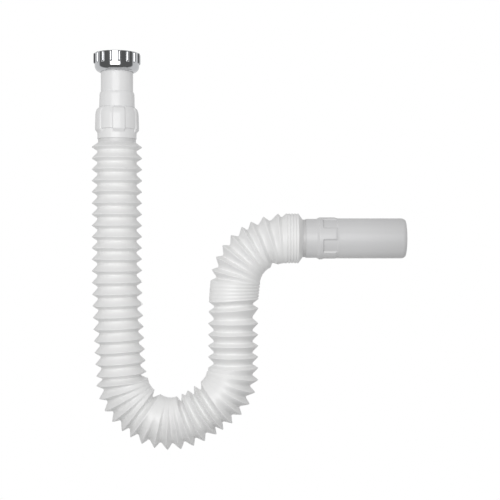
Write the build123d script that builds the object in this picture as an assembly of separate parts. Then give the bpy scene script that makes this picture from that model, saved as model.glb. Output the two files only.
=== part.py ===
"""Flexible basin trap: coupling nut, washer, flanged tail, grip collar, pleated trap and outlet spigot."""

import os
from math import cos, radians, sin
from typing import NamedTuple

from build123d import *

# Sizes are in millimetres. Z runs up the inlet's axis from the basin waste's seat, and the trap lies in XZ.

# Inlet: a G 1 1/4 nut over a 32 mm tube
THREAD_D = 38.95
THREAD_DEPTH = 8.7
TAIL_D = 32.0
TAIL_WALL = 1.8
TAIL_SHOWN = 20.0
FLANGE_GAP = 0.475
FLANGE_T = 2.5
WASHER_GAP = 0.375
WASHER_T = 3.0
RUNNING_GAP = 0.2
FIT_GAP = 0.05

# Coupling nut
NUT_WALL = 2.725
NUT_FLOOR = 3.3
NUT_MOUTH = 1.0
NUT_RELIEF = 0.4
NUT_BORE_GAP = 0.3
NUT_FOOT = 6.2
RIBS = 16
RIB_AT = 7.2
RIB_D = 3.2
RIB_RISE = 1.3
RIB_L = 9.5

# Pleated trap: crest and root are measured over the outside
CREST_D = 50.0
BENT_CREST_D = 52.0
ROOT_D = 38.6
BELLOWS_WALL = 1.2
CUFF_STEP = 2.2
CUFF_L = 23.5
SHOULDER_L = 0.3
NECK_L = 2.05
FIRST_FLANK = 6.0
LAST_FLANK = 5.4

# By hand each gap between two pleats was left open, pushed shut, or fanned: open outside a bend, shut inside.
# A pleat widens over its long flank and narrows over its short one, so that it can tuck shut.
LONG_FLANK = 0.62
TOP_PITCH = 11.2
OPEN_PITCH = 11.45
RISER_PITCH = 11.1
FAN_PITCH = 8.3
FAN_TURN = 11.0
SHUT_PITCH = 2.9
SHUT_ROOT_D = 47.8


class Run(NamedTuple):
    """Like gaps in a row: how many, the pitch along the middle, the turn of each in degrees, crest and root."""

    gaps: int
    pitch: float
    turn: float
    crest: float
    root: float = ROOT_D


PLEAT_RUNS = (
    Run(10, TOP_PITCH, 0.0, CREST_D),
    Run(10, OPEN_PITCH, 0.45, CREST_D),
    Run(1, 8.4, 3.0, BENT_CREST_D),
    Run(4, FAN_PITCH, FAN_TURN, BENT_CREST_D),
    Run(1, 9.0, 3.5, BENT_CREST_D),
    Run(5, FAN_PITCH, FAN_TURN, BENT_CREST_D),
    Run(1, 8.9, 6.5, BENT_CREST_D),
    Run(1, 10.1, 7.5, BENT_CREST_D),
    Run(1, 8.0, 0.0, BENT_CREST_D),
    Run(1, 9.8, 3.0, BENT_CREST_D),
    Run(4, 7.9, FAN_TURN, BENT_CREST_D),
    Run(1, 7.9, 9.0, CREST_D),
    Run(4, RISER_PITCH, 0.0, CREST_D),
    Run(1, 13.5, -2.0, CREST_D),
    Run(1, 16.2, -2.5, CREST_D),
    Run(5, SHUT_PITCH, -0.4, CREST_D, SHUT_ROOT_D),
    Run(1, 6.9, -9.0, CREST_D),
    Run(4, FAN_PITCH, -FAN_TURN, CREST_D),
    Run(1, 7.0, -7.1, CREST_D),
    Run(1, 10.2, -6.0, CREST_D),
    Run(1, 8.2, -13.4, CREST_D),
    Run(1, 5.9, -4.0, CREST_D),
    Run(4, SHUT_PITCH, 0.0, CREST_D, SHUT_ROOT_D),
)

# Grip collars
PADS = 5
PAD_ARC = 36.0
INLET_PAD_AT = -84.0
OUTLET_PAD_AT = -19.0
SOCKET_GAP = 0.1
COLLAR_WALL = 1.3
TAIL_SOCKET = 18.5
WEB_T = 2.5
GASKET_T = 2.0
SKIRT_STEP = 0.2
SKIRT_L = 9.3
SLEEVE_L = 31.2
RECESS_RISE = 1.4
INLET_PAD_RISE = 2.5
INLET_PAD_L = 25.4

# Outlet spigot
OUTLET_D = 40.0
OUTLET_WALL = 2.2
OUTLET_L = 99.0
OUTLET_SKIRT = 10.5
OUTLET_RING = 16.5
OUTLET_GRIP_END = 30.5
OUTLET_GRIP_WALL = 2.4
OUTLET_PAD_RISE = 1.4
OUTLET_LEAD_IN = 4.0

# Radii and levels that follow from the sizes above
THREAD_R = THREAD_D / 2
TAIL_R = TAIL_D / 2
TAIL_BORE_R = TAIL_R - TAIL_WALL
NUT_R = THREAD_R + NUT_WALL
FLANGE_R = THREAD_R - FLANGE_GAP
WASHER_R = THREAD_R - WASHER_GAP
ROOT_R = ROOT_D / 2
CUFF_R = ROOT_R - CUFF_STEP
CUFF_BORE_R = CUFF_R - BELLOWS_WALL
SOCKET_R = CUFF_R + SOCKET_GAP
SKIRT_R = ROOT_R + SKIRT_STEP
OUTLET_R = OUTLET_D / 2
OUTLET_BORE_R = OUTLET_R - OUTLET_WALL

FLANGE_TOP = -WASHER_T
FLANGE_FOOT = FLANGE_TOP - FLANGE_T
NUT_SEAT = FLANGE_FOOT - RUNNING_GAP
NUT_BOTTOM = NUT_SEAT - NUT_FLOOR
NUT_TOP = THREAD_DEPTH + NUT_MOUTH
COLLAR_TOP = NUT_BOTTOM - TAIL_SHOWN
WEB_TOP = COLLAR_TOP - TAIL_SOCKET
WEB_FOOT = WEB_TOP - WEB_T
CUFF_TOP = WEB_FOOT - GASKET_T
COLLAR_FOOT = CUFF_TOP - CUFF_L


def turned(outline, arc=360.0):
    """A solid of revolution about Z from a closed outline of radius and height."""
    return revolve(make_face(Plane.XZ * outline), Axis.Z, arc)


def turned_polygon(*points):
    return turned(Polyline(*points, close=True))


def flat_ring(outer_r, inner_r, bottom, top):
    return turned_polygon((inner_r, bottom), (outer_r, bottom), (outer_r, top), (inner_r, top))


def coupling_nut():
    foot_r = TAIL_R + NUT_BORE_GAP
    side = Polyline(
        (foot_r + 1.2, NUT_BOTTOM),
        (foot_r, NUT_BOTTOM),
        (foot_r, NUT_SEAT),
        (THREAD_R + NUT_RELIEF, NUT_SEAT),
        (THREAD_R + NUT_RELIEF, -NUT_RELIEF),
        (THREAD_R, 0),
        (THREAD_R, THREAD_DEPTH),
        (THREAD_R + NUT_MOUTH, NUT_TOP),
        (NUT_R - 0.5, NUT_TOP),
        (NUT_R, NUT_TOP - 0.5),
        (NUT_R, NUT_BOTTOM + NUT_FOOT),
    )
    foot = TangentArc((NUT_R, NUT_BOTTOM + NUT_FOOT), (foot_r + 1.2, NUT_BOTTOM), tangent=(0, -1))
    nut = turned(side + foot)
    rib_at = NUT_R + RIB_RISE - RIB_D / 2
    rib_foot = NUT_TOP - 0.5 - RIB_L
    rib = Pos(rib_at, 0, rib_foot) * (
        Cylinder(RIB_D / 2, RIB_L, align=(Align.CENTER, Align.CENTER, Align.MIN)) + Sphere(RIB_D / 2)
    )
    rib -= Cylinder(NUT_R - 0.8, 3 * RIB_L)
    return nut + [Rot(0, 0, RIB_AT + 360 / RIBS * k) * rib for k in range(RIBS)]


def seal_washer():
    return flat_ring(WASHER_R, TAIL_BORE_R, FLANGE_TOP, 0)


def inlet_tail():
    return turned_polygon(
        (TAIL_BORE_R, FLANGE_TOP),
        (FLANGE_R, FLANGE_TOP),
        (FLANGE_R, FLANGE_FOOT),
        (TAIL_R, FLANGE_FOOT),
        (TAIL_R, WEB_TOP),
        (TAIL_BORE_R, WEB_TOP),
    )


def grip_pads(outline, first_at):
    """The raised pads of a grip collar, spaced evenly from the angle of the first one's middle."""
    pad = turned(outline, PAD_ARC)
    return [Rot(0, 0, first_at - PAD_ARC / 2 + 360 / PADS * k) * pad for k in range(PADS)]


def inlet_collar():
    top_r = TAIL_R + FIT_GAP + COLLAR_WALL
    pad_foot = COLLAR_FOOT + SKIRT_L - 3.8
    pad_top = pad_foot + INLET_PAD_L
    ledge = COLLAR_FOOT + SLEEVE_L
    neck_r = SOCKET_R + 0.9
    body = turned_polygon(
        (TAIL_R + FIT_GAP, COLLAR_TOP),
        (top_r - 0.7, COLLAR_TOP),
        (top_r, COLLAR_TOP - 2.2),
        (neck_r - 0.4, ledge),
        (neck_r + 0.3, ledge),
        (SKIRT_R + RECESS_RISE, ledge - 6.2),
        (SKIRT_R + RECESS_RISE, COLLAR_FOOT + SKIRT_L),
        (SKIRT_R, COLLAR_FOOT + SKIRT_L),
        (SKIRT_R, COLLAR_FOOT),
        (SOCKET_R, COLLAR_FOOT),
        (SOCKET_R, WEB_FOOT),
        (TAIL_BORE_R, WEB_FOOT),
        (TAIL_BORE_R, WEB_TOP),
        (TAIL_R + FIT_GAP, WEB_TOP),
    )
    pad_r = SKIRT_R + INLET_PAD_RISE
    root_r = SOCKET_R + 0.5
    brow = (pad_r - 0.4, pad_top - 7.0)
    side = Polyline(
        (neck_r, pad_top),
        (root_r, pad_top),
        (root_r, pad_foot),
        (SKIRT_R, pad_foot),
        (pad_r, pad_foot + 3.2),
        brow,
    )
    outline = side + TangentArc(brow, (neck_r, pad_top), tangent=(0, 1))
    return body + grip_pads(outline, INLET_PAD_AT)


def inlet_gasket():
    return flat_ring(CUFF_R, CUFF_BORE_R, CUFF_TOP, WEB_FOOT)


def trap_rings():
    """The bellows' rings from cuff to cuff: the plane of each, square to the path, and its radius."""
    steps = [(0, 0, CUFF_R), (CUFF_L, 0, CUFF_R), (SHOULDER_L, 0, ROOT_R), (NECK_L, 0, ROOT_R)]
    steps.append((FIRST_FLANK, 0, CREST_D / 2))
    for gaps, pitch, turn, crest, root in PLEAT_RUNS:
        narrows = (pitch * (1 - LONG_FLANK), turn * (1 - LONG_FLANK), root / 2)
        widens = (pitch * LONG_FLANK, turn * LONG_FLANK, crest / 2)
        steps += gaps * [narrows, widens]
    steps.append((LAST_FLANK, 0, ROOT_R))
    steps += [(NECK_L, 0, ROOT_R), (SHOULDER_L, 0, CUFF_R), (CUFF_L, 0, CUFF_R)]
    x, z, heading = 0.0, CUFF_TOP, -90.0
    rings = []
    for length, turn, radius in steps:
        chord = radians(heading + turn / 2)
        x += length * cos(chord)
        z += length * sin(chord)
        heading += turn
        along = (cos(radians(heading)), 0, sin(radians(heading)))
        rings.append((Plane((x, 0, z), x_dir=(0, -1, 0), z_dir=along), radius))
    return rings


def bellows():
    rings = trap_rings()

    def skin(inset):
        return Solid.make_loft([Wire.make_circle(r - inset, plane) for plane, r in rings], ruled=True)

    return skin(0) - skin(BELLOWS_WALL)


def outlet_frame():
    """The outlet's own frame: its zero is the end of the skirt, and its Z runs out along the pipe."""
    return trap_rings()[-2][0]


def outlet_gasket():
    return outlet_frame() * flat_ring(CUFF_R, CUFF_BORE_R, CUFF_L, CUFF_L + GASKET_T)


def outlet_spigot():
    web = CUFF_L + GASKET_T
    recess_r = SOCKET_R + OUTLET_GRIP_WALL
    ring_r = recess_r + OUTLET_PAD_RISE
    lip = (OUTLET_R, OUTLET_L - OUTLET_LEAD_IN)
    end = (OUTLET_BORE_R + 0.5, OUTLET_L)
    side = Polyline(
        end,
        (OUTLET_BORE_R, OUTLET_L),
        (OUTLET_BORE_R, web + WEB_T),
        (CUFF_BORE_R, web + WEB_T),
        (CUFF_BORE_R, web),
        (SOCKET_R, web),
        (SOCKET_R, 0),
        (SKIRT_R, 0),
        (SKIRT_R, OUTLET_SKIRT),
        (ring_r, OUTLET_SKIRT + 2.5),
        (ring_r, OUTLET_RING),
        (recess_r, OUTLET_RING),
        (recess_r, OUTLET_GRIP_END - 0.4),
        (OUTLET_R, OUTLET_GRIP_END),
        lip,
    )
    body = turned(side + TangentArc(lip, end, tangent=(0, 1)))
    root_r = recess_r - 0.6
    pad = Polyline(
        (root_r, OUTLET_RING),
        (ring_r, OUTLET_RING),
        (ring_r, OUTLET_GRIP_END - 2.5),
        (OUTLET_R, OUTLET_GRIP_END),
        (root_r, OUTLET_GRIP_END),
        close=True,
    )
    return outlet_frame() * (body + grip_pads(pad, OUTLET_PAD_AT))


NODES = (
    coupling_nut,
    seal_washer,
    inlet_tail,
    inlet_collar,
    inlet_gasket,
    bellows,
    outlet_gasket,
    outlet_spigot,
)


def main():
    os.makedirs("parts", exist_ok=True)
    for make in NODES:
        export_step(make(), f"parts/{make.__name__}.step")


if __name__ == "__main__":
    main()
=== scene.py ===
# %% [markdown]
# # Flexible basin trap
# A corrugated plastic hose carries waste water from a basin down, round a U that stays full of
# water, and out to the drain. A chrome nut joins it to the basin and a plain spigot to the drain.
# The CAD gives every size and place; this file gives the look. Lengths are metres, but outlines, rings
# and runs of pleats are written in millimetres, as on a drawing.

# %% Load the frame
import math
from typing import NamedTuple

import bpy
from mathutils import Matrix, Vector


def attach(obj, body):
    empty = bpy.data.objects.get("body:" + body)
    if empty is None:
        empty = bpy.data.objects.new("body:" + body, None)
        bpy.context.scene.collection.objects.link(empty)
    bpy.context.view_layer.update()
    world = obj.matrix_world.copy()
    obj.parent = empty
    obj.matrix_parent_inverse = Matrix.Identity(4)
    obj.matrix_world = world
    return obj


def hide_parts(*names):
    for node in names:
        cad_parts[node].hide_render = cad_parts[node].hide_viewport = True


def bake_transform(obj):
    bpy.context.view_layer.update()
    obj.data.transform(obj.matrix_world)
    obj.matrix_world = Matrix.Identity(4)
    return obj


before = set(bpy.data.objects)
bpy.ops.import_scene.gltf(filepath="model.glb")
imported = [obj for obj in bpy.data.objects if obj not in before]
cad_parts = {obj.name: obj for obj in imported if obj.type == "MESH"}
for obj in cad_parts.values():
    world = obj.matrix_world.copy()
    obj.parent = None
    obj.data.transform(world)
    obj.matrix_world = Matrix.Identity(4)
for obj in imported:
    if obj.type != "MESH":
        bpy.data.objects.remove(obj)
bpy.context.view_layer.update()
MM = 0.001

# %% [markdown]
# ## A short way to wire nodes
# Everything that follows a rule here is a node tree. Wiring one by hand takes a lot of lines, so
# this small class adds a node, sets it and joins its sockets in one call, and gives back a socket.

# %% Wiring helper
WELD = 0.000004
NODES_ACROSS = 12
NODE_WIDE = 200
NODE_HIGH = 180


class Wiring:
    """A node tree being wired: takes() adds an input, node() adds a node and joins its sockets."""

    def __init__(self, tree, kind="GeometryNodeTree"):
        self.tree = tree
        if isinstance(tree, str):
            self.tree = bpy.data.node_groups.new(tree, kind)
            self.entry = self.tree.nodes.new("NodeGroupInput")
            self.exit = self.tree.nodes.new("NodeGroupOutput")

    def takes(self, name, kind, value=None):
        socket = self.tree.interface.new_socket(
            name=name, in_out="INPUT", socket_type="NodeSocket" + kind
        )
        if value is not None:
            socket.default_value = value
        return self.entry.outputs[name]

    def gives(self, name, kind, value):
        self.tree.interface.new_socket(name=name, in_out="OUTPUT", socket_type="NodeSocket" + kind)
        self.tree.links.new(value, self.exit.inputs[name])

    def node(self, kind, *values, out=None, **settings):
        """Adds a node, sets its open inputs in order, and gives the output named, or else the first."""
        made = self.tree.nodes.new(kind)
        down, across = divmod(len(self.tree.nodes), NODES_ACROSS)
        made.location = (NODE_WIDE * across, -NODE_HIGH * down)
        for key, value in settings.items():
            setattr(made, key, value)
        open_inputs = [socket for socket in made.inputs if socket.enabled]
        for socket, value in zip(open_inputs, values):
            if isinstance(value, bpy.types.NodeSocket):
                self.tree.links.new(value, socket)
            elif value is not None:
                socket.default_value = value
        if out:
            return made.outputs[out]
        return next(socket for socket in made.outputs if socket.enabled)

    def math(self, operation, *values):
        return self.node("ShaderNodeMath", *values, operation=operation)

    def vector(self, operation, *values):
        return self.node("ShaderNodeVectorMath", *values, operation=operation)

    def mix(self, factor, a, b, kind="FLOAT"):
        return self.node("ShaderNodeMix", factor, a, b, data_type=kind)

    def ramp(self, value, low, high, to_low, to_high, shape="SMOOTHSTEP"):
        """Maps low to high onto to_low to to_high, and holds the ends."""
        return self.node(
            "ShaderNodeMapRange", value, low, high, to_low, to_high, interpolation_type=shape
        )

    def noise(self, place, scale, detail, roughness):
        return self.node("ShaderNodeTexNoise", place, scale, detail, roughness)

    def sample(self, geometry, name, index, kind="FLOAT"):
        field = self.node("GeometryNodeInputNamedAttribute", name, data_type=kind)
        return self.node("GeometryNodeSampleIndex", geometry, field, index, data_type=kind)

    def on_axes(self, place, *pairs):
        """A point: place, then each (direction, distance) pair added to it."""
        for direction, distance in pairs:
            place = self.vector("ADD", place, self.vector("SCALE", direction, distance))
        return place

    def skin(self, grid, position, material, **attributes):
        """The last nodes of a body: move the grid, keep the attributes, weld its seams, set the look."""
        mesh = self.node("GeometryNodeSetPosition", grid, True, position)
        for name, value in attributes.items():
            mesh = self.node("GeometryNodeStoreNamedAttribute", mesh, True, name, value)
        mesh = self.node("GeometryNodeMergeByDistance", mesh, True, WELD)
        mesh = self.node("GeometryNodeSetShadeSmooth", mesh, True, True)
        mesh = self.node("GeometryNodeRealizeInstances", mesh)
        mesh = self.node("GeometryNodeSetMaterial", mesh, True, material)
        self.gives("Geometry", "Geometry", mesh)
        return self.tree


print("seams are welded within", round(WELD / MM, 4), "mm")

# %% [markdown]
# A tree could stay live as a modifier, but the export and the joints need plain meshes. So each piece
# is made by running its tree once, over a list of points that carry values, and keeping the result.


# %% Baking helper
def triangles(mesh):
    return sum(len(face.vertices) - 2 for face in mesh.polygons)


def baked(name, tree, points, attributes, **settings):
    """Runs a tree over a list of points with attributes and keeps the result as one plain mesh."""
    source = bpy.data.meshes.new(name + "_rule")
    source.from_pydata(points, [], [])
    for key, values in attributes.items():
        source.attributes.new(key, "FLOAT", "POINT").data.foreach_set("value", values)
    obj = bpy.data.objects.new(name, source)
    bpy.context.collection.objects.link(obj)
    modifier = obj.modifiers.new("rule", "NODES")
    modifier.node_group = tree
    for item in tree.interface.items_tree:
        if item.in_out == "INPUT" and item.name in settings:
            modifier[item.identifier] = settings[item.name]
    result = bpy.data.meshes.new_from_object(obj.evaluated_get(bpy.context.evaluated_depsgraph_get()))
    obj.modifiers.clear()
    obj.data = result
    result.name = name
    print(name, "has", triangles(result), "triangles")
    return obj


# %% [markdown]
# ## Finishes
# Five finishes: satin plastic for the hose, a glossier one for the tail and its collar, a greyer white for
# the pipe, whose grey is painted shade, chrome plate on the nut, and dark rubber for the seals. Flat
# colours would look like paint, so all share one node group that gives the faint cloudiness of a moulded
# skin as values; each shader stays in its own material. The pipe has its clouds stretched along it.


# %% Moulded skin group
def moulded_skin():
    w = Wiring("Moulded Skin", "ShaderNodeTree")
    light = w.takes("Light", "Color", (0.8, 0.8, 0.8, 1))
    dark = w.takes("Dark", "Color", (0.7, 0.7, 0.7, 1))
    smooth = w.takes("Smooth", "Float", 0.3)
    rough = w.takes("Rough", "Float", 0.4)
    stretch = w.takes("Stretch", "Vector", (1, 1, 1))
    place = w.node("ShaderNodeTexCoord", out="Object")
    drawn = w.vector("MULTIPLY", place, stretch)
    cloud = w.noise(drawn, scale=55.0, detail=3.0, roughness=0.55)
    grain = w.noise(drawn, scale=900.0, detail=2.0, roughness=0.5)
    w.gives("Colour", "Color", w.mix(cloud, light, dark, "RGBA"))
    w.gives("Roughness", "Float", w.mix(grain, smooth, rough))
    w.gives("Height", "Float", w.math("ADD", grain, cloud))
    return w.tree


SKIN = moulded_skin()
print("group", SKIN.name, "gives", [s.name for s in SKIN.interface.items_tree if s.in_out == "OUTPUT"])

# %% The five materials
GRAIN_HEIGHT = 0.0002


def material(name, roughness=0.4, metallic=0.0, **sockets):
    """A material with one Principled shader, its fixed values set on the shader's own sockets."""
    made = bpy.data.materials.new(name)
    made.use_nodes = True
    shader = made.node_tree.nodes["Principled BSDF"]
    shader.inputs["Roughness"].default_value = roughness
    shader.inputs["Metallic"].default_value = metallic
    for key, value in sockets.items():
        shader.inputs[key.replace("_", " ")].default_value = value
    return made, made.node_tree, shader


def moulded(name, light, dark, smooth, rough, bump, stretch=(1, 1, 1), **sockets):
    """A finish whose colour, roughness and bump come from the shared group."""
    made, tree, shader = material(name, **sockets)
    group = tree.nodes.new("ShaderNodeGroup")
    group.node_tree = SKIN
    values = {
        "Light": (*light, 1), "Dark": (*dark, 1), "Smooth": smooth, "Rough": rough, "Stretch": stretch,
    }
    for key, value in values.items():
        group.inputs[key].default_value = value
    relief = tree.nodes.new("ShaderNodeBump")
    relief.inputs["Strength"].default_value = bump
    relief.inputs["Distance"].default_value = GRAIN_HEIGHT
    tree.links.new(group.outputs["Colour"], shader.inputs["Base Color"])
    tree.links.new(group.outputs["Roughness"], shader.inputs["Roughness"])
    tree.links.new(group.outputs["Height"], relief.inputs["Height"])
    tree.links.new(relief.outputs["Normal"], shader.inputs["Normal"])
    return made


fitting = moulded(
    "white_fitting", light=(0.82, 0.82, 0.82), dark=(0.79, 0.79, 0.795), smooth=0.20, rough=0.28, bump=0.05
)
# This darker white is painted shade on the spigot and its pipe.
pipe = moulded(
    "white_pipe", light=(0.73, 0.73, 0.73), dark=(0.61, 0.61, 0.62), smooth=0.26, rough=0.36, bump=0.05,
    stretch=(0.05, 1, 1),
)
rubber = moulded(
    "seal_rubber", light=(0.035, 0.035, 0.037), dark=(0.025, 0.025, 0.027), smooth=0.55, rough=0.7, bump=0.3
)
hose = moulded(
    "white_bellows", light=(0.815, 0.815, 0.81), dark=(0.78, 0.78, 0.78), smooth=0.28, rough=0.38, bump=0.06
)
chrome = moulded(
    "chrome_plate", light=(0.62, 0.63, 0.65), dark=(0.57, 0.58, 0.60), smooth=0.06, rough=0.12, bump=0.01,
    metallic=1.0,
)
print("finishes:", [m.name for m in (fitting, pipe, rubber, hose, chrome)])

# %% [markdown]
# The hose's colour carries painted light and painted shade. A bright line at each root, paler short flanks
# and paler shut pleats are painted light: they stand in for light glowing through the thin wall, and they
# lift the shade on those flanks. The hose carries this as an attribute called pale, which its own node tree
# works out, and the finish follows it. The plain neck beside each grip is painted darker, as painted shade,
# so pale is less than nothing there, and the mix isn't clamped.

# %% Painted light and shade on the hose
# The white that the hose's painted light turns it towards.
PAINTED_GLOW_WHITE = (0.93, 0.93, 0.925)


def paint_light_and_shade(made, white):
    """Paints light and shade: turns the base colour towards white where pale is above nothing, and darker
    where it is below.
    """
    tree = made.node_tree
    shader = tree.nodes["Principled BSDF"]
    below = shader.inputs["Base Color"].links[0].from_socket
    w = Wiring(tree)
    share = w.node("ShaderNodeAttribute", attribute_name="pale", out="Fac")
    whiter = w.node("ShaderNodeMix", share, below, (*white, 1), data_type="RGBA", clamp_factor=False)
    tree.links.new(whiter, shader.inputs["Base Color"])


paint_light_and_shade(hose, PAINTED_GLOW_WHITE)
print(hose.name, "turns towards", PAINTED_GLOW_WHITE)

# %% [markdown]
# ## The hose
# The hose is blow-moulded in a chain of half moulds, so every pleat is the same V, and it is bent
# and stretched by hand afterwards. A pleat that is pulled open is a full V. A pleat that is pushed
# shut tucks one flank into the other and leaves only a fine line, and in a bend the same pleat is
# open outside and shut inside. A straight hose under a bend modifier would keep every pleat alike. So
# the rule needs, for each ring, its place, heading and radius, and the room its pleat has. That is a
# list of stations; the wall between them is one node tree.


# %% Pleated wall tree
def pleated_wall():
    w = Wiring("Pleated Wall")
    stations = w.takes("Geometry", "Geometry")
    rows = w.takes("Rows per Flank", "Int", 7)
    sides = w.takes("Sides", "Int", 72)
    crowding = w.takes("Row Crowding", "Float", 0.6)
    wall = w.takes("Wall", "Float", 0.0012)
    root_flat = w.takes("Root Flat", "Float", 0.18)
    crest_flat = w.takes("Crest Flat", "Float", 0.0002)
    easing = w.takes("Easing", "Float", 0.0006)
    shut_gap = w.takes("Shut Pitch", "Float", 0.004)
    open_gap = w.takes("Open Pitch", "Float", 0.0105)
    sway = w.takes("Sway", "Float", 0.0008)
    sway_step = w.takes("Sway Step", "Float", 0.45)
    sway_scale = w.takes("Sway Scale", "Float", 0.9)
    seed = w.takes("Seed", "Float", 4.0)
    # Painted light: how pale the long flanks, short flanks, root lines and shut pleats are painted.
    long_pale = w.takes("Long Flank Pale", "Float", 0.3)
    short_pale = w.takes("Short Flank Pale", "Float", 0.5)
    line_from = w.takes("Root Line From", "Float", 0.75)
    line_to = w.takes("Root Line To", "Float", 0.97)
    shut_pale = w.takes("Shut Pale", "Float", 0.5)
    # Painted shade: how much darker the plain neck beside each grip is painted.
    neck_shade_strength = w.takes("Neck Painted Shade", "Float", 2.3)
    look = w.takes("Material", "Material")

    # The grid's rows run along the outside, back along the inside, and close on the first.
    count = w.node("GeometryNodeAttributeDomainSize", stations, component="MESH")
    outer_rows = w.math("MULTIPLY_ADD", w.math("SUBTRACT", count, 1), rows, 1)
    loop = w.math("MULTIPLY", outer_rows, 2)
    loop_rows = w.math("ADD", loop, 1)
    grid = w.node("GeometryNodeMeshGrid", 1, 1, w.math("ADD", sides, 1), loop_rows)

    index = w.node("GeometryNodeInputIndex")
    column = w.math("FLOOR", w.math("DIVIDE", index, loop_rows))
    row = w.math("MODULO", w.math("MODULO", index, loop_rows), loop)
    inside = w.math("GREATER_THAN", row, w.math("SUBTRACT", outer_rows, 0.5))
    way_back = w.math("SUBTRACT", w.math("SUBTRACT", loop, 1), row)
    along = w.math("DIVIDE", w.mix(inside, row, way_back), rows)
    here = w.math("MINIMUM", w.math("FLOOR", along), w.math("SUBTRACT", count, 2))
    there = w.math("ADD", here, 1)
    even = w.math("SUBTRACT", along, here)
    part = w.mix(crowding, even, w.ramp(even, 0, 1, 0, 1))
    angle = w.math("DIVIDE", w.math("MULTIPLY", column, math.tau), sides)
    cos_a = w.math("COSINE", angle)
    sin_a = w.math("SINE", angle)

    def between(name, kind="FLOAT", mixed="FLOAT"):
        """A value of the stations, part of the way from this ring to the next."""
        last = w.sample(stations, name, here, kind)
        following = w.sample(stations, name, there, kind)
        return w.mix(part, last, following, mixed)

    def depth(at):
        """How far a root lies below its crests at this angle: nearly nothing where its gap is shut."""
        crest = w.sample(stations, "crest", at)
        lean = w.math("MULTIPLY", w.math("MULTIPLY", w.sample(stations, "turn", at), crest), cos_a)
        room = w.math("SUBTRACT", w.sample(stations, "room", at), lean)
        opened = w.ramp(room, shut_gap, open_gap, w.sample(stations, "least", at), 1.0)
        return w.math("MULTIPLY", w.sample(stations, "fold", at), opened)

    deep_here = depth(here)
    deep_there = depth(there)
    flank = w.math("MULTIPLY", w.mix(part, deep_here, deep_there), w.math("ADD", root_flat, 1))
    deepest = w.math("MAXIMUM", deep_here, deep_there)
    floor = w.math("SMOOTH_MIN", flank, deepest, easing)
    sunk = w.math("SMOOTH_MAX", w.math("SUBTRACT", floor, crest_flat), 0, easing)
    radius = w.math("SUBTRACT", between("crest"), sunk)
    radius = w.math("SUBTRACT", radius, w.math("MULTIPLY", inside, wall))

    heading = between("heading")
    cos_h = w.math("COSINE", heading)
    sin_h = w.math("SINE", heading)
    ahead = w.node("ShaderNodeCombineXYZ", cos_h, 0, sin_h)
    left = w.node("ShaderNodeCombineXYZ", w.math("MULTIPLY", sin_h, -1), 0, cos_h)
    drift = w.node("ShaderNodeCombineXYZ", cos_a, sin_a, w.math("MULTIPLY_ADD", along, sway_step, seed))
    noise = w.math("SUBTRACT", w.noise(drift, sway_scale, detail=1.0, roughness=0.5), 0.5)
    shift = w.math("MULTIPLY", w.math("MULTIPLY", noise, between("loose")), w.math("MULTIPLY", sway, 2))
    point = w.on_axes(
        between("position", "FLOAT_VECTOR", "VECTOR"),
        (ahead, shift),
        (left, w.math("MULTIPLY", radius, cos_a)),
        ((0, 1, 0), w.math("MULTIPLY", radius, sin_a)),
    )

    # The pale attribute: painted light on the roots, short flanks and shut pleats.
    fold = w.math("MAXIMUM", w.sample(stations, "fold", here), w.sample(stations, "fold", there))
    rooted = w.math("DIVIDE", sunk, fold)
    on_long = w.math("MULTIPLY", rooted, long_pale)
    on_short = w.ramp(rooted, line_from, line_to, short_pale, 1.0)
    falling = w.math("GREATER_THAN", deep_there, deep_here)
    opened = w.math("DIVIDE", deepest, fold)
    tone = w.mix(opened, shut_pale, w.mix(falling, on_long, on_short))
    pleated = w.math("GREATER_THAN", fold, 0)
    # Painted shade on the plain necks beside the grips takes pale below nothing.
    painted_shade = w.math("MINIMUM", w.sample(stations, "painted_shade", here), w.sample(stations, "painted_shade", there))
    pale = w.math("SUBTRACT", w.math("MULTIPLY", tone, pleated), w.math("MULTIPLY", painted_shade, neck_shade_strength))
    return w.skin(grid, point, look, pale=pale)


PLEATED = pleated_wall()
print("pleated wall tree has", len(PLEATED.nodes), "nodes")

# %% [markdown]
# The stations walk down the leg, round the U, up the riser and out through the elbow, crest to crest.
# Each run says how many gaps it has, their pitch, the turn of each, the crest's width, and how the hand
# left them. Two short barrels, under the elbow and before the spigot, are quite shut, and the bends are
# fans with an open gap or two between them. A curve could carry the hose as well, but a list of gaps
# also says which pleats are open, and that is what makes it look handled.

# %% Runs of pleats
STRAIGHT = 50.0
BENT = 52.0
FAN_TURN = 11.0
SHUT_DEPTH = 0.09


class Run(NamedTuple):
    """Like gaps in a row: how many, their pitch in mm, each one's turn in degrees, crest width, state."""
    gaps: int
    pitch: float
    turn: float
    crest: float
    state: str


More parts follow.
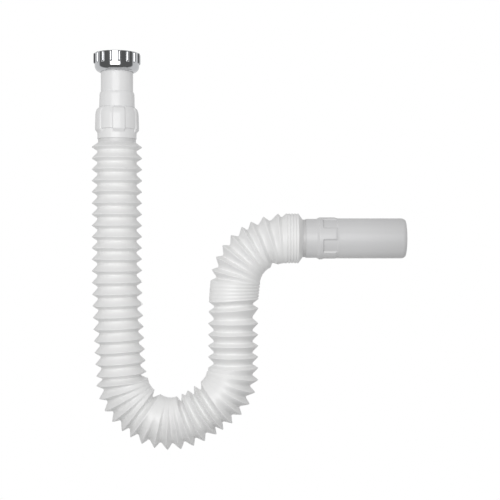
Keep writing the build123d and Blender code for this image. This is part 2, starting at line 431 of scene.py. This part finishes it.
RUNS = (
    Run(10, 11.2, 0.0, STRAIGHT, "open"),
    Run(10, 11.45, 0.45, STRAIGHT, "open"),
    Run(1, 8.4, 3.0, BENT, "open"),
    Run(4, 8.3, FAN_TURN, BENT, "fan"),
    Run(1, 9.0, 3.5, BENT, "open"),
    Run(2, 8.3, FAN_TURN, BENT, "tucked"),
    Run(3, 8.3, FAN_TURN, BENT, "fan"),
    Run(1, 8.9, 6.5, BENT, "open"),
    Run(1, 10.1, 7.5, BENT, "fan"),
    Run(1, 8.0, 0.0, BENT, "open"),
    Run(1, 9.8, 3.0, BENT, "open"),
    Run(4, 7.9, FAN_TURN, BENT, "tucked"),
    Run(1, 7.9, 9.0, STRAIGHT, "tucked"),
    Run(4, 11.1, 0.0, STRAIGHT, "open"),
    Run(1, 13.5, -2.0, STRAIGHT, "open"),
    Run(1, 16.2, -2.5, STRAIGHT, "open"),
    Run(5, 2.9, -0.4, STRAIGHT, "pressed"),
    Run(1, 6.9, -9.0, STRAIGHT, "fan"),
    Run(4, 8.3, -FAN_TURN, STRAIGHT, "fan"),
    Run(1, 7.0, -7.1, STRAIGHT, "fan"),
    Run(1, 10.2, -6.0, STRAIGHT, "fan"),
    Run(1, 8.2, -13.4, STRAIGHT, "fan"),
    Run(1, 5.9, -4.0, STRAIGHT, "fan"),
    Run(4, 2.9, 0.0, STRAIGHT, "shut"),
)


class State(NamedTuple):
    """How the hand left a gap: room in mm over its pitch, or a fixed room and lean, least depth, sway."""
    spare: float = 0.0
    room: float | None = None
    lean: float | None = None
    least: float = SHUT_DEPTH
    loose: float = 0.15


STATES = {
    "open": State(room=15.0, lean=0.0, loose=0.4),
    "fan": State(loose=1.0),
    "tucked": State(spare=-2.2, least=0.025, loose=1.0),
    "pressed": State(room=4.4, lean=2.0),
    "shut": State(room=5.2, lean=0.0),
}
print(sum(run.gaps for run in RUNS), "gaps in", len(RUNS), "runs")

# %% [markdown]
# Each gap gives two rings: a root after its short flank and a crest after its long one. A plain cuff
# and a neck stand before the first crest and after the last. When the hose was pushed shut some rings
# slid along it and tilted, so a short list of those is laid over the walk.

# %% Rings
ROOT_R = 19.3 * MM
CUFF_R = 17.1 * MM
NECK_R = 18.8 * MM
CUFF_TOP = -52 * MM
CUFF_L = 23.5
SHOULDER_L = 0.3
INLET_NECK_L = 3.4
# Painted shade on the plain neck beside the inlet collar.
INLET_NECK_SHADE = 0.42
FIRST_FLANK_L = 4.65
LAST_FLANK_L = 4.5
OUTLET_NECK_L = 2.95
# Painted shade on the plain neck beside the spigot.
OUTLET_NECK_SHADE = 0.7
LONG = 0.62


class Ring(NamedTuple):
    """A ring: its length and bend on from the last, then the values that the tree reads from it."""
    length: float
    bend: float
    crest: float
    fold: float = 0.0
    room: float = 1.0
    turn: float = 0.0
    least: float = SHUT_DEPTH
    loose: float = 0.0
    # How much painted shade the tree gives this ring.
    painted_shade: float = 0.0


def plain(length, radius, painted_shade=0.0):
    """A ring with no pleat, so many millimetres on."""
    return Ring(length * MM, 0.0, radius, painted_shade=painted_shade)


INLET_END = (
    plain(0, CUFF_R),
    plain(CUFF_L, CUFF_R),
    plain(SHOULDER_L, NECK_R, INLET_NECK_SHADE),
    plain(INLET_NECK_L, NECK_R, INLET_NECK_SHADE),
    plain(FIRST_FLANK_L, STRAIGHT / 2 * MM),
)
OUTLET_END = (
    plain(LAST_FLANK_L, NECK_R, OUTLET_NECK_SHADE),
    plain(OUTLET_NECK_L, NECK_R, OUTLET_NECK_SHADE),
    plain(SHOULDER_L, CUFF_R),
    plain(CUFF_L, CUFF_R),
)

# Rings that slid and tilted: (gaps walked, mm on, degrees).
SETTLED = (
    (44, 0.0, 0.0), (45, 0.0, 6.0), (45.5, -1.5, 7.0), (46, -6.5, 8.0), (51, -3.0, 3.0), (52, -4.0, 0.0),
    (57, -2.5, 0.0), (60, 0.0, 0.0),
)


def hose_rings():
    """The rings in order, from the inlet cuff's top to the outlet cuff's end."""
    rings = list(INLET_END)
    for gaps, pitch, turn, crest, state in RUNS:
        left = STATES[state]
        gap_turn = math.radians(turn)
        crest_r = crest / 2 * MM
        room = (left.room or pitch + left.spare) * MM
        lean = gap_turn if left.lean is None else math.radians(left.lean)
        for share, fold in gaps * ((1 - LONG, crest_r - ROOT_R), (LONG, 0.0)):
            on = (pitch * share * MM, gap_turn * share)
            rings.append(Ring(*on, crest_r, fold, room, lean, left.least, left.loose))
    return rings + list(OUTLET_END)


def settled(ring):
    """How far a ring has slid, and how much it has tilted, between the rings that SETTLED names."""
    gaps = (ring - len(INLET_END) + 1) / 2
    for (first, slid, tilt), (last, slid_on, tilt_on) in zip(SETTLED, SETTLED[1:]):
        if first <= gaps <= last:
            share = (gaps - first) / (last - first)
            return (slid + share * (slid_on - slid)) * MM, math.radians(tilt + share * (tilt_on - tilt))
    return 0.0, 0.0


def hose_stations():
    """Walks the rings from the cuff's top, straight down first, and notes each one's place and values."""
    x = 0.0
    z = CUFF_TOP
    heading = math.radians(-90)
    found = []
    for length, bend, *values in hose_rings():
        x += length * math.cos(heading + bend / 2)
        z += length * math.sin(heading + bend / 2)
        heading += bend
        slid, tilt = settled(len(found))
        place = (x + slid * math.cos(heading), 0.0, z + slid * math.sin(heading))
        found.append((place, (heading + tilt, *values)))
    return found


STATIONS = hose_stations()
OUTLET = STATIONS[-2][0]
print(len(STATIONS), "rings; the hose leaves at", [round(1000 * v, 1) for v in OUTLET])

# %% [markdown]
# The hose is baked as two pieces that meet on a root ring at the foot of the leg, because the leg
# stretches with one joint and the elbow bends with another, and a piece can only follow one. The elbow's
# bend is spread over a long stretch, so that its outer pleats don't cross.

# %% Hose pieces
KEYS = ("heading", *Ring._fields[2:])
SPLIT = len(INLET_END) + 2 * (RUNS[0].gaps + RUNS[1].gaps)


def hose_piece(name, stations):
    """A stretch of the hose, baked from its stations, that stands for the CAD's bellows."""
    places = [place for place, values in stations]
    columns = zip(KEYS, zip(*(values for place, values in stations)))
    piece = baked(name, PLEATED, places, dict(columns), Material=hose)
    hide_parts("bellows")
    return piece


bellows_leg = hose_piece("bellows_leg", STATIONS[: SPLIT + 1])
bellows_trap = hose_piece("bellows_trap", STATIONS[SPLIT:])
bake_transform(bellows_leg)
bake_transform(bellows_trap)

# %% [markdown]
# ## The turned fittings
# The nut, the collar and the spigot are round mouldings with something repeated round them: ribs
# or grip pads. They could be cut from cylinders with booleans, but those leave edges that are hard to
# round. Here one tree turns a closed outline about an axis and lifts it, at each lobe, towards a second
# outline. A groove attribute cuts a screw thread into the rows that carry it.


# %% Turned wall tree
def turned_wall():
    w = Wiring("Turned Wall")
    outline = w.takes("Geometry", "Geometry")
    segments = w.takes("Segments", "Int", 360)
    lobes = w.takes("Lobes", "Int", 5)
    arc = w.takes("Lobe Arc", "Float", 0.6)
    edge = w.takes("Lobe Edge", "Float", 0.03)
    first = w.takes("First Lobe", "Float", 0.0)
    half_round = w.takes("Half Round", "Float", 0.0)
    pitch = w.takes("Thread Pitch", "Float", 0.0023)
    place = w.takes("Place", "Vector", (0, 0, 0))
    axis = w.takes("Axis", "Vector", (0, 0, 1))
    side = w.takes("Side", "Vector", (1, 0, 0))
    look = w.takes("Material", "Material")

    count = w.node("GeometryNodeAttributeDomainSize", outline, component="MESH")
    loop_rows = w.math("ADD", count, 1)
    grid = w.node("GeometryNodeMeshGrid", 1, 1, w.math("ADD", segments, 1), loop_rows)
    index = w.node("GeometryNodeInputIndex")
    column = w.math("FLOOR", w.math("DIVIDE", index, loop_rows))
    row = w.math("MODULO", w.math("MODULO", index, loop_rows), count)
    angle = w.math("DIVIDE", w.math("MULTIPLY", column, math.tau), segments)

    step = w.math("DIVIDE", math.tau, lobes)
    away = w.math("PINGPONG", w.math("SUBTRACT", angle, first), w.math("DIVIDE", step, 2))
    half = w.math("DIVIDE", arc, 2)
    flat = w.ramp(away, w.math("SUBTRACT", half, edge), w.math("ADD", half, edge), 1, 0)
    chord = w.math("MINIMUM", w.math("DIVIDE", away, half), 1)
    bow = w.math("SQRT", w.math("SUBTRACT", 1, w.math("MULTIPLY", chord, chord)))
    lobe = w.mix(half_round, flat, bow)

    height = w.mix(lobe, w.sample(outline, "z", row), w.sample(outline, "lobe_z", row))
    radius = w.mix(lobe, w.sample(outline, "r", row), w.sample(outline, "lobe_r", row))
    turns = w.math("SUBTRACT", w.math("DIVIDE", height, pitch), w.math("DIVIDE", angle, math.tau))
    wave = w.math("MULTIPLY", w.math("PINGPONG", turns, 0.5), 2)
    depth = w.math("MULTIPLY", w.sample(outline, "groove", row), wave)
    radius = w.math("ADD", radius, depth)
    point = w.on_axes(
        place,
        (side, w.math("MULTIPLY", radius, w.math("COSINE", angle))),
        (w.vector("CROSS_PRODUCT", axis, side), w.math("MULTIPLY", radius, w.math("SINE", angle))),
        (axis, height),
    )
    return w.skin(grid, point, look)


TURNED = turned_wall()
print("turned wall tree has", len(TURNED.nodes), "nodes")

# %% [markdown]
# Moulded edges are never sharp. Each outline is a list of corners, in millimetres, with the radius
# of its edge. A bevel modifier would round them too, but the plain outline and the lifted one have to
# match point for point, so this helper rounds every corner with the same number of points.

# %% Outline helper
CORNER_STEPS = 4
HOLD = 0.15
MOST_ROUND = 0.45
MOST_HOLD = 0.49
THREAD_ROWS = 40
THREAD_LEAST = 4
TOUCHING = 0.01


def softened(corners):
    """Rounds each (radius, height, edge) corner of a closed loop, and holds the flats beside it."""
    points = []
    for k, (r, z, edge) in enumerate(corners):
        here = Vector((r, z))
        before = Vector(corners[k - 1][:2]) - here
        after = Vector(corners[(k + 1) % len(corners)][:2]) - here
        reach = min(edge, MOST_ROUND * before.length, MOST_ROUND * after.length)
        hold = min(reach + HOLD, MOST_HOLD * before.length, MOST_HOLD * after.length)
        start = here + before.normalized() * reach
        end = here + after.normalized() * reach
        points.append(here + before.normalized() * hold)
        for step in range(CORNER_STEPS + 1):
            t = step / CORNER_STEPS
            points.append(start.lerp(here, t).lerp(here.lerp(end, t), t))
        points.append(here + after.normalized() * hold)
    return points


def rounded(centre, radius, angles, edge):
    """Corners along a round stretch of an outline, at these angles about its centre."""
    r, z = centre
    return [(r + radius * math.cos(a), z + radius * math.sin(a), edge) for a in angles]


def lifted_at(corners, lifts):
    """The corners again, with those that lifts names by (radius, height) moved to where it says."""
    return [lifts.get(corner[:2], corner) for corner in corners]


def threaded(point, ahead, bore):
    """Whether the stretch between two points of an outline is the bore that a thread is cut into."""
    on_bore = abs(point.x - bore) < TOUCHING and abs(ahead.x - bore) < TOUCHING
    return on_bore and abs(point.y - ahead.y) > THREAD_LEAST


def turned(name, corners, lifts, thread=(0, 0), **settings):
    """A fitting from its corners, those that its lobes lift, and its thread's (radius, depth)."""
    outline = softened(corners)
    lobes = softened(lifted_at(corners, lifts))
    bore, deep = thread
    rows = []
    for k, point in enumerate(outline):
        after = (k + 1) % len(outline)
        steps = THREAD_ROWS if threaded(point, outline[after], bore) else 1
        for s in range(steps):
            here = point.lerp(outline[after], s / steps)
            up = lobes[k].lerp(lobes[after], s / steps)
            groove = deep if s > 0 else 0.0
            rows.append((here.x, here.y, up.x, up.y, groove))
    keys = ("r", "z", "lobe_r", "lobe_z", "groove")
    columns = {key: [v * MM for v in column] for key, column in zip(keys, zip(*rows))}
    return baked(name, TURNED, [(r[0] * MM, 0, r[1] * MM) for r in rows], columns, **settings)


print("each corner becomes", CORNER_STEPS + 3, "points")

# %% [markdown]
# The nut is moulded and chrome plated. Sixteen half-round ribs give wet fingers a grip. Below them the
# wall rolls in to a foot that lifts the tail's flange against the basin waste. The CAD leaves its bore
# plain. A thread could be a swept helix; here the tree cuts it as a triangle wave that climbs one pitch
# in each turn, so it stays one wall with the rest.

# %% Coupling nut
NUT_R = 22.2
RIB_R = 23.5
NUT_TOP = 9.7
BORE_R = 19.475
RELIEF_R = 19.875
HOLE_R = 16.3
SEAT_Z = -5.7
FOOT_Z = -9.0
THREAD_DEEP = 1.1
FOOT_ROUND = rounded(centre=(15.76, -2.8), radius=6.44, angles=(-1.0, -0.75, -0.5, -0.25), edge=0.9)
nut_corners = [
    (HOLE_R, SEAT_Z, 0.2), (HOLE_R, FOOT_Z, 0.3), (17.5, FOOT_Z, 0.5), *FOOT_ROUND, (NUT_R, -2.0, 0.6),
    (NUT_R, -1.3, 0.2), (NUT_R, 0.0, 0.3), (NUT_R, 8.6, 0.3), (NUT_R, NUT_TOP, 0.5),
    (20.475, NUT_TOP, 0.25), (BORE_R, 8.7, 0.2), (BORE_R, 0.0, 0.15),
    (RELIEF_R, -0.4, 0.15), (RELIEF_R, SEAT_Z, 0.2),
]
RIBBED = {
    (NUT_R, 0.0): (RIB_R, -0.3, 1.2),
    (NUT_R, 8.6): (RIB_R, 9.1, 0.8),
    (NUT_R, NUT_TOP): (NUT_R, NUT_TOP, 0.4),
}
coupling_nut = turned(
    "nut_shell", nut_corners, RIBBED, (BORE_R, THREAD_DEEP), Segments=576, Lobes=16,
    **{"Lobe Arc": math.radians(7.6), "First Lobe": math.radians(13.0), "Half Round": 1.0},
    **{"Thread Pitch": 2.309 * MM, "Material": chrome},
)
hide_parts("coupling_nut")
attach(coupling_nut, "nut")

# %% [markdown]
# The collar grips the top cuff of the hose and carries the tail. Five raised pads with rolled-over
# brows stand on its skirt; the recesses between them are what fingers turn it by. Its outline goes up
# the hole for the tail, down the cone to a fine groove, over the shoulder and skirt, and back up the
# socket that the cuff sits in.

# %% Inlet collar
TAIL_HOLE_R = 16.05
RECESS_R = 20.9
SKIRT_R = 19.5
SOCKET_R = 17.2
LIP_R = 14.2
collar_corners = [
    (TAIL_HOLE_R, -47.5, 0.1), (TAIL_HOLE_R, -29.0, 0.15), (16.65, -29.0, 0.4), (17.35, -31.2, 0.8),
    (17.7, -43.9, 0.1), (17.2, -44.2, 0.1), (17.4, -44.6, 0.1), (18.4, -44.7, 0.25), (19.3, -46.6, 0.8),
    (RECESS_R, -50.5, 2.5), (RECESS_R, -65.0, 0.4), (RECESS_R, -66.2, 0.4),
    (SKIRT_R, -66.6, 0.3), (SKIRT_R, -70.2, 0.3), (SKIRT_R, -75.75, 0.15),
    (SOCKET_R, -75.75, 0.1), (SOCKET_R, -50.0, 0.15), (LIP_R, -50.0, 0.2), (LIP_R, -47.5, 0.2),
]
PADDED = {
    (19.3, -46.6): (20.4, -46.4, 1.5),
    (RECESS_R, -50.5): (21.6, -50.6, 2.5),
    (RECESS_R, -65.0): (22.0, -66.6, 0.8),
    (RECESS_R, -66.2): (21.4, -67.6, 0.4),
    (SKIRT_R, -66.6): (19.9, -69.5, 0.4),
}
PAD = {"Lobes": 5, "Lobe Arc": math.radians(34), "Lobe Edge": math.radians(2.2), "Segments": 360}
collar = turned(
    "collar_shell", collar_corners, PADDED,
    **PAD, **{"First Lobe": math.radians(-78), "Material": fitting},
)
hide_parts("inlet_collar")
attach(collar, "inlet")

# %% [markdown]
# The spigot grips the far cuff in the same way and runs on as plain 40 mm waste pipe, with a
# rounded lead-in that starts it in the drain's seal. Its outline lies along the outlet's own axis.
# Light leaves a thin white pipe by its open end, so its wall looks greyer there, and the finish says so.

# %% Outlet spigot
PIPE_R = 20.0
PIPE_BORE_R = 17.8
PIPE_END = 99.0
GRIP_R = 21.0
GRIP_RECESS_R = 19.6
STOP_R = 15.9
STOP_END = 28.0
SOCKET_FLOOR = 25.5
GREY_FROM = 55
GREY_SHARE = 0.92


def grey_towards(made, start, end, share):
    """Multiplies the base colour by 1 up to start, and by share at end, along X."""
    tree = made.node_tree
    shader = tree.nodes["Principled BSDF"]
    w = Wiring(tree)
    along = w.node("ShaderNodeSeparateXYZ", w.node("ShaderNodeTexCoord", out="Object"), out="X")
    level = w.ramp(along, start, end, 1.0, share, shape="LINEAR")
    colour = shader.inputs["Base Color"].links[0].from_socket
    greyer = w.node("ShaderNodeMix", 1.0, colour, level, data_type="RGBA", blend_type="MULTIPLY")
    tree.links.new(greyer, shader.inputs["Base Color"])


LEAD_IN = rounded(centre=(14.44, 95), radius=5.56, angles=(0.74, 0.5, 0.27, 0.05), edge=0.6)
spigot_corners = [
    (PIPE_BORE_R, STOP_END, 0.2), (PIPE_BORE_R, PIPE_END, 0.2), (18.3, PIPE_END, 0.3), *LEAD_IN,
    (PIPE_R, 92.0, 0.3), (PIPE_R, 32.5, 0.3), (PIPE_R, 30.5, 0.3),
    (GRIP_RECESS_R, 30.1, 0.3), (GRIP_RECESS_R, 17.6, 0.4), (GRIP_RECESS_R, 16.5, 0.3),
    (GRIP_R, 16.5, 0.35), (GRIP_R, 13.0, 0.5), (SKIRT_R, 10.5, 0.6), (SKIRT_R, -0.25, 0.15),
    (SOCKET_R, -0.25, 0.1), (SOCKET_R, SOCKET_FLOOR, 0.15), (STOP_R, SOCKET_FLOOR, 0.2),
    (STOP_R, STOP_END, 0.2),
]
RAISED = {
    (PIPE_R, 30.5): (20.2, 30.6, 0.4),
    (GRIP_RECESS_R, 30.1): (GRIP_R, 29.0, 0.8),
    (GRIP_RECESS_R, 17.6): (GRIP_R, 20.0, 0.3),
    (GRIP_RECESS_R, 16.5): (GRIP_R, 18.0, 0.3),
}
spigot = turned(
    "spigot_shell", spigot_corners, RAISED,
    **PAD, **{"First Lobe": math.radians(-12.7), "Place": OUTLET, "Axis": (1.0, 0.0, 0.0)},
    **{"Side": (0.0, -1.0, 0.0), "Material": pipe},
)
grey_towards(pipe, OUTLET[0] + GREY_FROM * MM, OUTLET[0] + PIPE_END * MM, GREY_SHARE)
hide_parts("outlet_spigot")
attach(spigot, "outlet")

# %% [markdown]
# ## Pieces kept from the CAD
# The tail is a plain tube and the seals are plain rings. Making them again would add nothing, so the
# CAD's own meshes are kept and only take a finish.

# %% Carried-over pieces
CARRIED = {"inlet_tail": fitting, "seal_washer": rubber, "inlet_gasket": rubber, "outlet_gasket": rubber}
for name, look in CARRIED.items():
    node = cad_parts[name]
    node.data.materials.clear()
    node.data.materials.append(look)
    print(name, "takes", look.name)

# %% [markdown]
# ## Studio
# The trap hangs in front of plain white. The floor lies well below, as under a basin. It takes the
# shadows, and a little light of its own, which only the camera sees, makes it as pale as the background.

# %% Floor
FLOOR_PLACE = (0.133, 0.45, -1.3)
FLOOR_SIZE = 1.6
FLOOR_GLOW = 0.5
bpy.ops.mesh.primitive_plane_add(size=FLOOR_SIZE, location=FLOOR_PLACE)
floor = bpy.context.object
floor.name = "floor"
floor_look, floor_tree, floor_shader = material(
    "pale_floor", roughness=0.8, Base_Color=(0.9, 0.9, 0.9, 1), Emission_Color=(1, 1, 1, 1)
)
w = Wiring(floor_tree)
glow = w.math("MULTIPLY", w.node("ShaderNodeLightPath", out="Is Camera Ray"), FLOOR_GLOW)
floor_tree.links.new(glow, floor_shader.inputs["Emission Strength"])
floor.data.materials.append(floor_look)
print("floor at", FLOOR_PLACE)

# %% [markdown]
# One broad soft box stands in front, a little to the left, and a smaller one lights the back. A spot or
# the sun would draw hard shadows between the pleats. The back one doesn't show in gloss, so that it
# can't edge the fittings with a bright line.


# %% Lamps
def soft_box(name, place, target, size, watts, mirrored=True):
    """A rectangular soft box that faces a point; one that isn't mirrored doesn't show in gloss."""
    lamp = bpy.data.lights.new(name, "AREA")
    lamp.shape = "RECTANGLE"
    lamp.size, lamp.size_y = size
    lamp.energy = watts
    holder = bpy.data.objects.new(name, lamp)
    holder.location = place
    holder.visible_camera = False
    holder.visible_glossy = mirrored
    holder.rotation_euler = (Vector(target) - Vector(place)).to_track_quat("-Z", "Y").to_euler()
    bpy.context.collection.objects.link(holder)
    print(name, "lamp of", watts, "W at", place)


soft_box("key", place=(-0.03, -0.80, -0.08), target=(0.06, 0.0, -0.16), size=(0.75, 0.56), watts=4.05)
soft_box(
    "back", place=(0.133, 1.3, -0.14), target=(0.133, 0.0, -0.18), size=(0.4, 0.4), watts=6.0,
    mirrored=False,
)

# %% [markdown]
# The world fills the rest, rather more from above than from below. The camera sees it as plain white.
# Seen in the chrome the room is dark in front and white behind, which gives the nut its dark panels.

# %% World
HORIZON_LEVEL = 0.56
POLE_LOSS = -0.25
SKY_GAIN = 0.13
FRONT_SEEN = 0.14
BACK_SEEN = 0.8
BACK_FULL = 0.16
WHITE = 1.0
world = bpy.data.worlds.new("studio")
bpy.context.scene.world = world
world.use_nodes = True
w = Wiring(world.node_tree)
way = w.node("ShaderNodeTexCoord", out="Generated")
along_y = w.node("ShaderNodeSeparateXYZ", way, out="Y")
along_z = w.node("ShaderNodeSeparateXYZ", way, out="Z")
mirrored = w.ramp(along_y, 0.0, BACK_FULL, FRONT_SEEN, BACK_SEEN, shape="LINEAR")
level = w.math("MULTIPLY_ADD", w.math("ABSOLUTE", along_z), POLE_LOSS, HORIZON_LEVEL)
lit = w.math("MULTIPLY_ADD", along_z, SKY_GAIN, level)
seen = w.node("ShaderNodeLightPath", out="Is Camera Ray")
glossy = w.node("ShaderNodeLightPath", out="Is Glossy Ray")
strength = w.mix(seen, w.mix(glossy, lit, mirrored), WHITE)
background = world.node_tree.nodes["Background"]
world.node_tree.links.new(strength, background.inputs["Strength"])
background.inputs["Color"].default_value = (1, 1, 1, 1)
print("world level at the horizon:", HORIZON_LEVEL)

# %% [markdown]
# The camera looks level and straight on, as the photograph does. At this distance and lens one pixel of
# a 500 pixel frame is one millimetre in the trap's own plane.

# %% Camera
camera = bpy.data.objects.new("camera", bpy.data.cameras.new("camera"))
camera.data.lens = 79.2
camera.data.sensor_width = 36
camera.location = (0.133, -1.1, -0.1865)
camera.rotation_euler = (math.radians(90), 0, 0)
bpy.context.collection.objects.link(camera)
bpy.context.scene.camera = camera
bpy.context.scene.view_settings.view_transform = "Standard"
print("camera at", tuple(camera.location))
